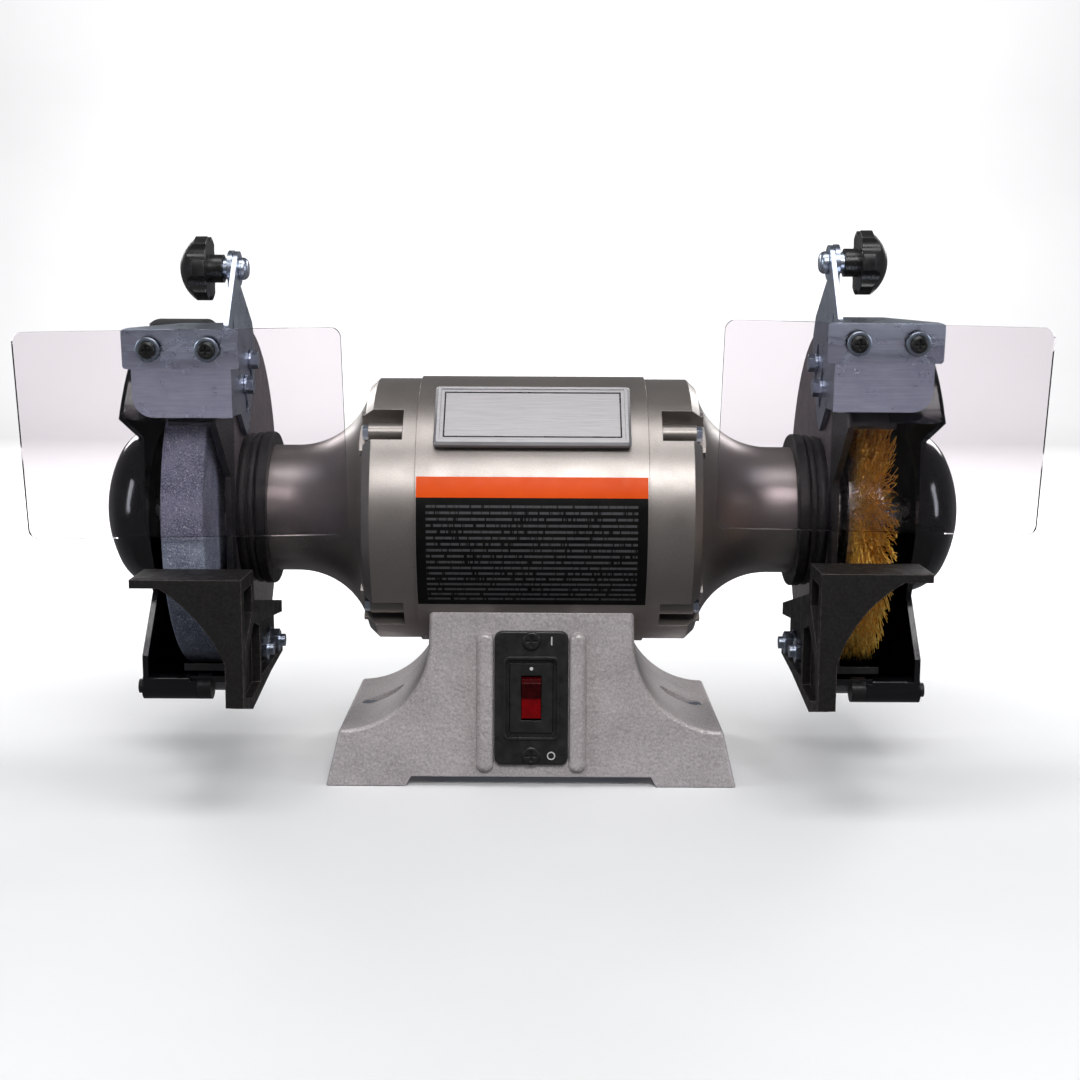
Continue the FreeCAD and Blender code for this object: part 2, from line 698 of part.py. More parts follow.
def dome_edges(radius, x0, x1):
    """The (x, radius) edges of a dome that is fuller than a sphere: a toroidal shoulder, then a cap."""
    points = []
    for angle in (0, 22.5, 45):
        a = math.radians(angle)
        points.append(V(x0 + (x1 - x0) * math.sin(a), 0, radius * math.cos(a)))
    joint = points[2]
    centre_x = (joint.x ** 2 + joint.z ** 2 - x1 ** 2) / (2 * (joint.x - x1))
    half_angle = math.atan2(joint.z, joint.x - centre_x) / 2
    cap_r = x1 - centre_x
    middle = V(centre_x + cap_r * math.cos(half_angle), 0, cap_r * math.sin(half_angle))
    return [arc(points[0], points[1], joint), arc(joint, middle, V(x1, 0, 0))]


def guard_cover(side):
    wall = 3.5
    rim = ring_x(SPLIT_X - 4, COVER_X, COVER_R, COVER_R - wall)
    disc = rod_x(COVER_X - wall, COVER_X, COVER_R)
    cover = fuse([rim, disc]).cut(rod_x(SPLIT_X - 10, SPLIT_X + 0.2, GUARD_R + 0.1))
    edges = [e for e in cover.Edges if e.BoundBox.XMin > COVER_X - 0.1 and e.BoundBox.ZMax > COVER_R - 1]
    cover = cover.makeFillet(3.0, edges)
    outer = turned([line(V(COVER_X - wall, 0, 0), V(COVER_X - wall, 0, DOME_R)),
                    line(V(COVER_X - wall, 0, DOME_R), V(COVER_X, 0, DOME_R)),
                    *dome_edges(DOME_R, COVER_X, DOME_X), line(V(DOME_X, 0, 0), V(COVER_X - wall, 0, 0))])
    inner = turned([line(V(COVER_X - 4, 0, 0), V(COVER_X - 4, 0, DOME_R - wall)),
                    *dome_edges(DOME_R - wall, COVER_X - 4, DOME_X - wall),
                    line(V(DOME_X - wall, 0, 0), V(COVER_X - 4, 0, 0))])
    cover = cover.fuse(outer).cut(inner).cut(cover_mouth())
    for y, z in lug_points():
        lug = rod_x(SPLIT_X - 4, COVER_X + 1, LUG_R, y, z)
        lug = lug.cut(rod_x(SPLIT_X - 10, SPLIT_X + 0.2, GUARD_R + 0.1))
        cover = cover.fuse(lug).cut(rod_x(SPLIT_X - 10, FAR, 2.4, y, z))
    return on_side(cover, side)


def cover_screws():
    screws = []
    for side in (RIGHT, LEFT):
        for y, z in lug_points():
            shank = rod_x(LUG_X + 2.5, COVER_X + 1, 2.3, y, z)
            head = rod_x(COVER_X + 1, COVER_X + 4, 4.5, y, z)
            head = head.cut(box(COVER_X + 2.8, COVER_X + 5, y - 0.7, y + 0.7, z - 3, z + 3))
            head = head.cut(box(COVER_X + 2.8, COVER_X + 5, y - 3, y + 3, z - 0.7, z + 0.7))
            screws.append(on_side(shank.fuse(head), side))
    return group(screws)


def guard_screws():
    screws = []
    for side in (RIGHT, LEFT):
        for y, z in guard_screw_points():
            head = rod_x(GUARD_X + GUARD_WALL, GUARD_X + GUARD_WALL + 2.2, 3.8, y, z)
            shank = rod_x(NECK_FLANGE_X, GUARD_X + GUARD_WALL, 2.2, y, z)
            screws.append(on_side(head.fuse(shank), side))
    return group(screws)


def collar(side):
    valley = 47.2
    inner = NECK_FLANGE_R
    points = [(167, NECK_R), (167, 48.8), (168, 49.5), (173, 49.5), (174, 48.8), (174, valley)]
    for start, crest in ((174.6, 49.0), (180.4, 48.3)):
        points += [(start, valley), (start + 0.6, crest - 0.4), (start + 1.6, crest), (start + 3.0, crest),
                   (start + 4.0, crest - 0.4), (start + 4.6, valley)]
    points += [(185.9, valley), (185.9, inner), (NECK_FLANGE_X, inner), (NECK_FLANGE_X, NECK_R)]
    return on_side(turned_polygon(points), side)


def rest_bolts():
    bolts = []
    for side in (RIGHT, LEFT):
        for y, z in REST_BOLTS:
            washer_out = REST_POCKET_X - RUNNING_GAP
            shank = rod_x(washer_out - 10.8, GUARD_X + GUARD_WALL + 1, 4.0, y, z)
            washer = rod_x(washer_out - 1.6, washer_out, 8.2, y, z)
            head = hex_x(washer_out - 7.3, washer_out - 1.6, 13, y, z)
            bolts.append(on_side(fuse([shank, washer, head]), side))
    return group(bolts)


def arrestor_bolts():
    bolts = []
    for side in (RIGHT, LEFT):
        for y, z in ARRESTOR_BOLTS:
            washer_out = WING_X - RUNNING_GAP
            shank = rod_x(washer_out - 5, GUARD_X + GUARD_WALL + 0.5, 3.0, y, z)
            washer = rod_x(washer_out - 1.4, washer_out, 6.2, y, z)
            head = hex_x(washer_out - 5.4, washer_out - 1.4, 10, y, z)
            bolts.append(on_side(fuse([shank, washer, head]), side))
    return group(bolts)


# Spark arrestors
def set_offset(side):
    """How far along its slots each arrestor is set."""
    return SLOT_DIRECTION * (-lift(side) / abs(SLOT_DIRECTION.z))


def pivot_point(side):
    return V(0, PIVOT[0], PIVOT[1]) + set_offset(side)


def slot_tool(y, z):
    """A long slot for a bolt, along the arrestor's sliding direction."""
    half_width = 3.4
    start = V(0, y, z) - SLOT_DIRECTION * 3.5
    length = 19.5
    across = V(0, -SLOT_DIRECTION.z, SLOT_DIRECTION.y) * half_width
    end = start + SLOT_DIRECTION * length
    corners = [start + across, end + across, end - across, start - across]
    slot = prism_x([(p.y, p.z) for p in corners], WING_X - 2, WING_X + SHEET + 2)
    ends = [rod_x(WING_X - 2, WING_X + SHEET + 2, half_width, p.y, p.z) for p in (start, end)]
    return slot.multiFuse(ends)


def spark_arrestor(side):
    y, z = PIVOT
    outline = [(-58, 146), (-55, 114), (-78, 108), (-101, 105), (-107, 97), (-104.9, 66), (-82, 64),
               (-40, 64), (-27, 54), (-19, 48), (-10, 54), (15, 92), (14, 108), (6, 120), (-40, 148)]
    wing = prism_x(outline, WING_X, WING_X + SHEET)
    wing = wing.fuse(rod_x(WING_X, WING_X + SHEET, 11.0, y, z))
    for bolt_y, bolt_z in ARRESTOR_BOLTS:
        wing = wing.cut(slot_tool(bolt_y, bolt_z))
    tongue = prism_x([(-108.2, 97), (-105.7, 97), (-103.6, 66), (-106.1, 66)], TONGUE_IN, TONGUE_OUT)
    corner = box(TONGUE_OUT - 12, TONGUE_OUT + 1, -120, -90, 60, 78)
    corner = corner.cut(rod(V(TONGUE_OUT - 12, -125, 78), Y_AXIS, 12.0, 40))
    arrestor = wing.fuse(tongue.cut(corner)).removeSplitter()
    arrestor = arrestor.cut(rod_x(WING_X - 1, WING_X + 5, 3.1, y, z))
    arrestor.translate(set_offset(side))
    return on_side(arrestor, side)


def pivot_bolt(side):
    """The domed bolt that the shield tilts on; its thread runs on into the knob."""
    y, z = PIVOT
    inner = ARM_X - RUNNING_GAP
    shank = rod_x(inner - 1, 197, 3.0, y, z)
    head = rod_x(inner - 5.2, inner, 6.8, y, z)
    edges = [e for e in head.Edges if e.BoundBox.XMax < inner - 5]
    head = head.makeFillet(3.5, edges)
    spacer = ring_x(WING_X + SHEET, KNOB_X - RUNNING_GAP, 6.4, 3.0, y, z)
    bolt = group([head.fuse(shank), spacer])
    bolt.translate(set_offset(side))
    return on_side(bolt, side)


# Shields
def from_pivot(shape, side):
    """Places a shape drawn about an upright bracket's pivot at y = 0, z = 0."""
    placed = shape.copy()
    placed.rotate(V(0, 0, 0), X_AXIS, SHIELD_TILT)
    placed.translate(pivot_point(side))
    return on_side(placed, side)


def shield_bracket(side):
    top = -FLANGE_DROP
    bottom = top - FLANGE_HEIGHT
    back = -FLANGE_REACH
    arm_points = [(-9, 6), (9, 6), (9, -4), (-30, top), (back, bottom + 6), (back, top), (-44, top)]
    arm = prism_x(arm_points, ARM_X, ARM_X + SHEET)
    arm = arm.fuse(rod_x(ARM_X, ARM_X + SHEET, 10.5))
    front = box(FLANGE_IN, FLANGE_OUT, back - SHEET, back, bottom, top)
    edges = [e for e in front.Edges if abs(e.tangentAt(e.FirstParameter).y) > 0.9]
    front = front.makeFillet(2.0, edges)
    roof_points = [V(ARM_X, back - SHEET, top - SHEET), V(FLANGE_OUT - 2, back - SHEET, top - SHEET),
                   V(FLANGE_OUT - 2, back + 4, top - SHEET), V(208, back + 34, top - SHEET),
                   V(ARM_X, back + 34, top - SHEET)]
    roof = Part.Face(Part.makePolygon(roof_points + roof_points[:1])).extrude(V(0, 0, SHEET))
    bracket = fuse([arm, front, roof])
    bracket = bracket.cut(rod_x(ARM_X - 1, ARM_X + 5, 3.1))
    for x in SHIELD_SCREW_X:
        bracket = bracket.cut(rod(V(x, back - 10, (top + bottom) / 2), Y_AXIS, 2.7, 20))
    return from_pivot(bracket, side)


def shield_front():
    return -FLANGE_REACH - SHEET


def eye_shield(side):
    sheet = rounded_plate(SHIELD_WIDTH, SHIELD_HEIGHT, SHEET, 6)
    sheet.translate(V(SHIELD_X, shield_front() - SHEET, -FLANGE_DROP - SHIELD_HEIGHT / 2))
    middle_x = sum(SHIELD_SCREW_X) / 2
    screw_z = -FLANGE_DROP - FLANGE_HEIGHT / 2
    sheet.rotate(V(middle_x, 0, screw_z), Y_AXIS, SHIELD_SKEW)
    for x in SHIELD_SCREW_X:
        sheet = sheet.cut(rod(V(x, shield_front() - 10, screw_z), Y_AXIS, 2.9, 20))
    return from_pivot(sheet, side)


def shield_screws(side):
    face = shield_front() - SHEET
    z = -FLANGE_DROP - FLANGE_HEIGHT / 2
    screws = []
    for x in SHIELD_SCREW_X:
        washer = rod(V(x, face - 1.0, z), Y_AXIS, 7.0, 1.0)
        head = rod(V(x, face - 4.2, z), Y_AXIS, 5.0, 3.2)
        edges = [e for e in head.Edges if abs(e.CenterOfMass.y - face + 4.2) < 0.01]
        head = head.makeFillet(1.5, edges)
        head = head.cut(box(x - 3, x + 3, face - 5, face - 2.8, z - 0.6, z + 0.6))
        head = head.cut(box(x - 0.6, x + 0.6, face - 5, face - 2.8, z - 3, z + 3))
        shank = rod(V(x, face - 1, z), Y_AXIS, 2.4, 13)
        nut = rod(V(x, face + 2 * SHEET, z), Y_AXIS, 4.4, 3.0)
        screws.append(fuse([washer, head, shank, nut]))
    return from_pivot(group(screws), side)


def knob(side):
    start = KNOB_X
    hub = rod_x(start, 199, 8.5)
    head = rod_x(197, 215, 20.0)
    ball = Part.makeSphere(24.0, V(191, 0, 0))
    head = head.common(ball)
    for i in range(6):
        y, z = at_angle(23.5, 60 * i + 30)
        head = head.cut(rod_x(190, 220, 7.0, y, z))
    edges = [e for e in head.Edges if e.BoundBox.XLength < 0.1 and e.CenterOfMass.x < 198]
    star = head.makeFillet(0.8, edges)
    shape = star.fuse(hub).cut(rod_x(start - 1, 198, 3.05))
    shape.translate(pivot_point(side))
    return on_side(shape, side)


# Tool rests
def rest_slot(y, z):
    """The slot that lets a rest slide towards the wheel as it wears."""
    half_width = 4.4
    y0 = y - REST_IN_TRAVEL
    y1 = y + REST_OUT_TRAVEL
    slot = box(TABLE_IN - 1, REST_WEB_X + 1, y0, y1, z - half_width, z + half_width)
    return slot.multiFuse([rod_x(TABLE_IN - 1, REST_WEB_X + 1, half_width, end, z) for end in (y0, y1)])


def tool_rest(side):
    up = lift(side)
    top = TABLE_Z + up
    table = box(TABLE_IN, TABLE_OUT, TABLE_FRONT, TABLE_BACK, top - TABLE_THICK, top)
    web_points = [(TABLE_FRONT, top), (TABLE_FRONT, -99), (-112, -107), (-45, -99), (1, -96), (1, -62),
                  (-100, -43 + up), (TABLE_BACK, top)]
    web = prism_x(web_points, TABLE_IN, REST_WEB_X)
    heel = V(REST_WEB_X - 1, 0, -76)
    mid = V(184, 0, -58 + up)
    toe = V(214, 0, top - TABLE_THICK + 0.5)
    corner = V(REST_WEB_X - 1, 0, top - TABLE_THICK + 0.5)
    edges = [arc(heel, mid, toe), line(toe, corner), line(corner, heel)]
    gusset = Part.Face(Part.Wire(edges)).extrude(V(0, 6, 0))
    gusset.translate(V(0, TABLE_FRONT, 0))
    rest = fuse([table, web, gusset])
    upper_pocket = [(-134, top - 8), (-134, -66), (-108, -49 + up), (-108, top - 8)]
    lower_pocket = [(-134, -76), (-134, -95), (-112, -100), (-84, -97), (-84, -62), (-104, -56)]
    for points in (upper_pocket, lower_pocket):
        rest = rest.cut(prism_x(points, TABLE_IN - 1, REST_POCKET_X))
    bolt_field = [(-80, -93.5), (3, -93), (3, -70), (-80, -60)]
    rest = rest.cut(prism_x(bolt_field, TABLE_IN - 1, REST_POCKET_X))
    for y, z in REST_BOLTS:
        rest = rest.cut(rest_slot(y, z))
    return on_side(rest, side)


def make_all():
    single = (base_casting, base_plate, base_plate_screws, foot_bolts, cable_gland, switch_plate, switch_body,
              switch_toggle, switch_screws, capacitor, capacitor_clamp, motor_shell, nameplate, safety_label,
              stator_core, stator_windings, through_bolts, through_nuts, wave_washer, bearing_outer_rings,
              bearing_inner_rings, bearing_balls, spindle_shaft, rotor_core, grinding_wheel, wire_wheel_hub,
              wire_brush, inner_flanges, outer_flanges, spindle_nuts, cover_screws, guard_screws, rest_bolts,
              arrestor_bolts)
    paired = (end_bell, guard_casting, guard_cover, collar, spark_arrestor, pivot_bolt, shield_bracket,
              eye_shield, shield_screws, knob, tool_rest)
    os.makedirs("parts", exist_ok=True)
    for maker in single:
        save(maker.__name__, maker())
    for maker in paired:
        for side, word in ((RIGHT, "right_"), (LEFT, "left_")):
            save(word + maker.__name__, maker(side))


make_all()
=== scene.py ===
import json
import math
import random

import bpy
from mathutils import Matrix, Vector


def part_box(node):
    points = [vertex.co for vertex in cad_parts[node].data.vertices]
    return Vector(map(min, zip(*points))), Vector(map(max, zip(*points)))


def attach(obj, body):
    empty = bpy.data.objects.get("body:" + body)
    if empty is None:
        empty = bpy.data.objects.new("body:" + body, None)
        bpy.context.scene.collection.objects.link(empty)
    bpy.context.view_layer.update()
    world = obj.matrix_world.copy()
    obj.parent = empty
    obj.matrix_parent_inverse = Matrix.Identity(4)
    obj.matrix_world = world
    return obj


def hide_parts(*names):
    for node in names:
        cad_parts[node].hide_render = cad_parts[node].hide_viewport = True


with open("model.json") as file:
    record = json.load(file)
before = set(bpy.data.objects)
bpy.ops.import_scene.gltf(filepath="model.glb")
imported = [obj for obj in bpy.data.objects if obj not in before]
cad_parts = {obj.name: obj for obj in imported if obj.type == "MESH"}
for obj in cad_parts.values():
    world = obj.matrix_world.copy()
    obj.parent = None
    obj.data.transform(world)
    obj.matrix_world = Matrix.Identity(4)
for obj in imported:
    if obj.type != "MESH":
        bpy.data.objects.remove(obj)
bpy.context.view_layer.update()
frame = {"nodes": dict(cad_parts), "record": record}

NODES = frame["nodes"]
MM = 0.001
SIDES = ("left", "right")


def box_middle(node):
    low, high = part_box(node)
    return (low + high) / 2


SPINDLE_Z = box_middle("spindle_shaft").z
SHIELD_TILT = math.radians(4.9)


# Camera and light
CAMERA_PLACE = Vector((4.9 * MM, -1050 * MM, SPINDLE_Z + 136 * MM))
CAMERA_PITCH = 8.5
CAMERA_ROLL = 0.3
LENS = 53.87


def make_camera():
    data = bpy.data.cameras.new("camera")
    data.lens = LENS
    data.sensor_width = 36
    camera = bpy.data.objects.new("camera", data)
    turn = Matrix.Rotation(math.radians(90 - CAMERA_PITCH), 4, "X")
    roll = Matrix.Rotation(math.radians(CAMERA_ROLL), 4, "Z")
    camera.matrix_world = Matrix.Translation(CAMERA_PLACE) @ turn @ roll
    bpy.context.scene.collection.objects.link(camera)
    bpy.context.scene.camera = camera


def area_light(name, place, target, size, power, colour=(1, 1, 1)):
    data = bpy.data.lights.new(name, "AREA")
    data.shape = "RECTANGLE"
    data.size, data.size_y = size
    data.energy = power
    data.color = colour
    lamp = bpy.data.objects.new(name, data)
    lamp.location = place
    lamp.rotation_euler = (Vector(target) - Vector(place)).to_track_quat("-Z", "Y").to_euler()
    bpy.context.scene.collection.objects.link(lamp)


def make_lights():
    middle = (0, 0, SPINDLE_Z)
    area_light("top_box", (0, -0.35, 1.25), middle, (1.1, 0.4), 6)
    area_light("front_box", (0.12, -1.5, 1.2), middle, (0.8, 0.5), 15)
    area_light("left_box", (-1.3, -0.6, 0.5), middle, (0.25, 0.8), 4, (0.86, 0.93, 1.0))
    area_light("right_box", (1.3, -0.6, 0.5), middle, (0.25, 0.8), 4, (0.86, 0.93, 1.0))
    area_light("rear_left", (-0.9, 1.2, 0.8), middle, (0.4, 0.7), 6)
    area_light("rear_right", (0.9, 1.2, 0.8), middle, (0.4, 0.7), 6)
    area_light("backdrop_light", (0, 1.0, 1.6), (0, 2.6, 0.4), (2.5, 0.5), 78)
    world = bpy.data.worlds.new("studio")
    bpy.context.scene.world = world
    world.use_nodes = True
    background = world.node_tree.nodes["Background"]
    background.inputs["Color"].default_value = (0.95, 0.96, 1, 1)
    background.inputs["Strength"].default_value = 0.12
    bpy.context.scene.view_settings.view_transform = "Standard"


# Material building blocks
class Surface:
    """A Principled material with helpers to hang procedural detail on it."""

    def __init__(self, name, **settings):
        self.material = bpy.data.materials.new(name)
        self.material.use_nodes = True
        self.tree = self.material.node_tree
        self.shader = self.tree.nodes["Principled BSDF"]
        self.coords = self.node("ShaderNodeTexCoord").outputs["Object"]
        for key, value in settings.items():
            self.shader.inputs[key.replace("_", " ")].default_value = value

    def node(self, kind, **settings):
        made = self.tree.nodes.new(kind)
        for key, value in settings.items():
            setattr(made, key, value)
        return made

    def link(self, output, socket):
        self.tree.links.new(output, socket)

    def fill(self, node, **values):
        for key, value in values.items():
            socket = node.inputs[key] if not key.startswith("in") else node.inputs[int(key[2:])]
            if isinstance(value, bpy.types.NodeSocket):
                self.link(value, socket)
            else:
                socket.default_value = value
        return node

    def noise(self, scale, detail=3.0, roughness=0.6, vector=None):
        node = self.node("ShaderNodeTexNoise")
        self.fill(node, Vector=vector or self.coords, Scale=scale, Detail=detail, Roughness=roughness)
        return node.outputs["Fac"]

    def cells(self, scale, feature="F1", vector=None):
        node = self.node("ShaderNodeTexVoronoi", feature=feature)
        self.fill(node, Vector=vector or self.coords, Scale=scale)
        return node.outputs["Distance"]

    def stretched(self, scale):
        node = self.node("ShaderNodeMapping")
        self.fill(node, Vector=self.coords, Scale=scale)
        return node.outputs["Vector"]

    def ramp(self, value, *stops):
        """A colour ramp; each stop is (position, colour or grey level)."""
        node = self.node("ShaderNodeValToRGB")
        elements = node.color_ramp.elements
        while len(elements) < len(stops):
            elements.new(0.5)
        for element, (position, colour) in zip(elements, stops):
            element.position = position
            element.color = (*colour, 1) if isinstance(colour, tuple) else (colour, colour, colour, 1)
        self.link(value, node.inputs["Fac"])
        return node.outputs["Color"]

    def maths(self, operation, a, b=0.0):
        node = self.node("ShaderNodeMath", operation=operation)
        return self.fill(node, in0=a, in1=b).outputs[0]

    def mix(self, factor, a, b):
        node = self.node("ShaderNodeMix", data_type="RGBA")
        for socket, value in ((node.inputs["Factor"], factor), (node.inputs["A"], a), (node.inputs["B"], b)):
            if isinstance(value, bpy.types.NodeSocket):
                self.link(value, socket)
            else:
                socket.default_value = (*value, 1) if isinstance(value, tuple) else value
        return node.outputs["Result"]

    def axis(self, name):
        node = self.node("ShaderNodeSeparateXYZ")
        self.link(self.coords, node.inputs[0])
        return node.outputs[name]

    def radius(self):
        """Distance from the spindle's axis."""
        rise = self.maths("SUBTRACT", self.axis("Z"), SPINDLE_Z)
        depth = self.axis("Y")
        square = self.maths("ADD", self.maths("MULTIPLY", rise, rise), self.maths("MULTIPLY", depth, depth))
        return self.maths("SQRT", square)

    def edge_wear(self, radius, low, high):
        """White along sharp edges, broken up by noise."""
        bevel = self.node("ShaderNodeBevel", samples=4)
        bevel.inputs["Radius"].default_value = radius
        geometry = self.node("ShaderNodeNewGeometry")
        dot = self.node("ShaderNodeVectorMath", operation="DOT_PRODUCT")
        self.link(bevel.outputs[0], dot.inputs[0])
        self.link(geometry.outputs["Normal"], dot.inputs[1])
        sharp = self.maths("SUBTRACT", 1.0, dot.outputs["Value"])
        broken = self.maths("MULTIPLY", sharp, self.noise(260, 4))
        return self.ramp(broken, (low, 0.0), (high, 1.0))

    def finish(self, colour=None, roughness=None, metallic=None, height=None, depth=0.0, soften=0.0006):
        for value, name in ((colour, "Base Color"), (roughness, "Roughness"), (metallic, "Metallic")):
            if value is not None:
                self.link(value, self.shader.inputs[name])
        normal = None
        if soften:
            bevel = self.node("ShaderNodeBevel", samples=4)
            bevel.inputs["Radius"].default_value = soften
            normal = bevel.outputs[0]
        if height is not None:
            bump = self.node("ShaderNodeBump")
            self.fill(bump, Height=height, Distance=depth, Strength=1.0)
            if normal:
                self.link(normal, bump.inputs["Normal"])
            normal = bump.outputs["Normal"]
        if normal:
            self.link(normal, self.shader.inputs["Normal"])
        return self.material


HAMMER_SCALE = 420         # dimples of about 2.4 mm


def base_paint():
    """Light hammertone enamel: small dimples with slightly different tones."""
    s = Surface("base_paint", Metallic=0.2, Coat_Weight=0.25, Coat_Roughness=0.25)
    dimples = s.cells(HAMMER_SCALE, "SMOOTH_F1")
    grit = s.noise(750, 3, 0.75)
    patches = s.noise(45, 3, 0.5)
    tone = s.maths("ADD", s.maths("MULTIPLY", grit, 0.75), s.maths("MULTIPLY", patches, 0.25))
    colour = s.ramp(tone, (0.32, (0.40, 0.36, 0.36)), (0.68, (0.80, 0.735, 0.735)))
    rough = s.ramp(s.noise(700, 2), (0.3, 0.30), (0.7, 0.50))
    return s.finish(colour, rough, height=dimples, depth=0.00028)


def motor_paint():
    """Satin metallic enamel with a fine orange peel and faint flake."""
    s = Surface("motor_paint", Metallic=0.75, Coat_Weight=0.2, Coat_Roughness=0.3)
    flake = s.noise(1300, 1, 0.5)
    cloud = s.noise(14, 3)
    tone = s.maths("ADD", s.maths("MULTIPLY", flake, 0.4), s.maths("MULTIPLY", cloud, 0.6))
    colour = s.ramp(tone, (0.3, (0.26, 0.235, 0.22)), (0.7, (0.36, 0.325, 0.305)))
    rough = s.ramp(s.noise(60, 4), (0.3, 0.34), (0.7, 0.42))
    return s.finish(colour, rough, height=s.noise(300, 1), depth=0.00002)


TONE_SPLIT_Y = -0.045      # the guards are black in front of this
GUARD_WALL_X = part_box("right_guard_casting")[0].x + 0.0098
GUARD_RADIUS = 0.1195


def guard_paint():
    """Black at the front and inside, hammered grey-brown over the back of the inner wall."""
    s = Surface("guard_paint", Metallic=0.2, Coat_Weight=0.3, Coat_Roughness=0.25)
    dimples = s.cells(HAMMER_SCALE, "SMOOTH_F1")
    grey = s.ramp(s.noise(110, 5, 0.7), (0.3, (0.115, 0.095, 0.10)), (0.72, (0.22, 0.19, 0.20)))
    black = s.ramp(s.noise(200, 4), (0.3, (0.008, 0.008, 0.009)), (0.75, (0.022, 0.021, 0.022)))
    wobble = s.maths("MULTIPLY", s.maths("SUBTRACT", s.noise(60, 2), 0.5), 0.004)
    along = s.maths("ADD", s.axis("Y"), wobble)
    outside = s.maths("LESS_THAN", s.maths("ABSOLUTE", s.axis("X")), GUARD_WALL_X + 0.0004)
    outside = s.maths("MAXIMUM", outside, s.maths("GREATER_THAN", s.radius(), GUARD_RADIUS - 0.001))
    # the guard is drawn black in front of this split and grey-brown behind it, on the inner wall's motor
    # side and the rim
    behind = s.maths("GREATER_THAN", along, TONE_SPLIT_Y)
    colour = s.mix(s.maths("MULTIPLY", behind, outside), black, grey)
    rough = s.ramp(s.noise(500, 2), (0.3, 0.34), (0.7, 0.55))
    return s.finish(colour, rough, height=dimples, depth=0.00016)


def cover_paint():
    """Gloss black enamel with a faint orange peel."""
    s = Surface("cover_paint", Metallic=0.0, Coat_Weight=0.35, Coat_Roughness=0.05)
    colour = s.ramp(s.noise(40, 4), (0.3, (0.0025, 0.0025, 0.0035)), (0.7, (0.006, 0.006, 0.008)))
    rough = s.ramp(s.noise(120, 5, 0.7), (0.35, 0.1), (0.75, 0.22))
    return s.finish(colour, rough, height=s.noise(300, 2), depth=0.00008)


def rubber():
    """Matt black rubber."""
    s = Surface("collar_rubber", Specular_IOR_Level=0.4)
    colour = s.ramp(s.noise(300, 4), (0.3, (0.008, 0.008, 0.008)), (0.7, (0.024, 0.023, 0.022)))
    rough = s.ramp(s.noise(90, 5), (0.3, 0.38), (0.7, 0.62))
    return s.finish(colour, rough, height=s.noise(900, 3), depth=0.00005)


def zinc():
    """Bright zinc plate: bluish, cloudy, with fine rolling lines."""
    s = Surface("zinc", Metallic=1.0)
    cloud = s.noise(55, 6, 0.7)
    lines = s.noise(60, 3, 0.6, s.stretched((1, 1, 22)))
    tone = s.maths("ADD", s.maths("MULTIPLY", cloud, 0.45), s.maths("MULTIPLY", lines, 0.55))
    colour = s.ramp(tone, (0.30, (0.36, 0.41, 0.52)), (0.70, (0.54, 0.59, 0.68)))
    rough = s.ramp(cloud, (0.3, 0.24), (0.7, 0.36))
    return s.finish(colour, rough, height=lines, depth=0.000008, soften=0.0004)


def machined_steel():
    """Turned steel: fine rings round the spindle."""
    s = Surface("steel", Metallic=1.0)
    rings = s.noise(30, 4, 0.7, s.stretched((60, 1, 1)))
    colour = s.ramp(rings, (0.3, (0.42, 0.42, 0.4284)), (0.7, (0.72, 0.72, 0.7056)))
    rough = s.ramp(s.noise(150, 4), (0.3, 0.18), (0.7, 0.36))
    return s.finish(colour, rough, height=rings, depth=0.00003, soften=0.0004)


def rest_iron():
    """Rough black casting whose corners are worn to bare iron."""
    s = Surface("rest_iron", Metallic=0.15, Specular_IOR_Level=0.35)
    sand = s.noise(520, 6, 0.75)
    colour = s.ramp(sand, (0.3, (0.004, 0.0032, 0.003)), (0.72, (0.020, 0.017, 0.016)))
    wear = s.edge_wear(0.0012, 0.10, 0.30)
    colour = s.mix(wear, colour, (0.38, 0.31, 0.27))
    rough = s.ramp(s.noise(160, 4), (0.3, 0.42), (0.7, 0.68))
    return s.finish(colour, rough, height=sand, depth=0.00035, soften=0.0009)


def abrasive():
    """Vitrified grit: blue-grey with pale and dark grains and open pores."""
    s = Surface("abrasive", Specular_IOR_Level=0.35)
    grain = s.cells(1500)
    cloud = s.noise(70, 5, 0.7)
    tone = s.maths("ADD", s.maths("MULTIPLY", grain, 0.55), s.maths("MULTIPLY", cloud, 0.6))
    colour = s.ramp(tone, (0.32, (0.06, 0.07, 0.11)), (0.5, (0.16, 0.18, 0.26)), (0.66, (0.34, 0.37, 0.47)))
    speck = s.ramp(s.noise(800, 2, 0.8), (0.60, 0.0), (0.68, 1.0))
    colour = s.mix(speck, colour, (0.80, 0.83, 0.88))
    rough = s.ramp(cloud, (0.3, 0.75), (0.7, 0.95))
    return s.finish(colour, rough, height=grain, depth=0.0005, soften=0.0012)


def wire():
    """Brass-coloured steel wire, each strand a little different."""
    s = Surface("wire", Metallic=0.3)
    tint = s.noise(240, 4, 0.8)
    colour = s.ramp(tint, (0.3, (0.85, 0.34, 0.03)), (0.5, (1.0, 0.56, 0.08)), (0.68, (1.0, 0.82, 0.30)))
    rough = s.ramp(s.noise(600, 2), (0.3, 0.22), (0.7, 0.42))
    return s.finish(colour, rough, soften=0.0)


def shield_plastic():
    """Clear plastic, faintly pink-grey and lightly scuffed. The low IOR keeps reflections weak."""
    s = Surface("shield_plastic", IOR=1.15, Transmission_Weight=1.0)
    scuffs = s.noise(90, 5, 0.8, s.stretched((1, 1, 3)))
    rough = s.ramp(scuffs, (0.45, 0.0), (0.85, 0.07))
    colour = s.ramp(s.noise(5, 2), (0.3, (0.81, 0.76, 0.795)), (0.7, (0.83, 0.785, 0.815)))
    return s.finish(colour, rough, soften=0.0)


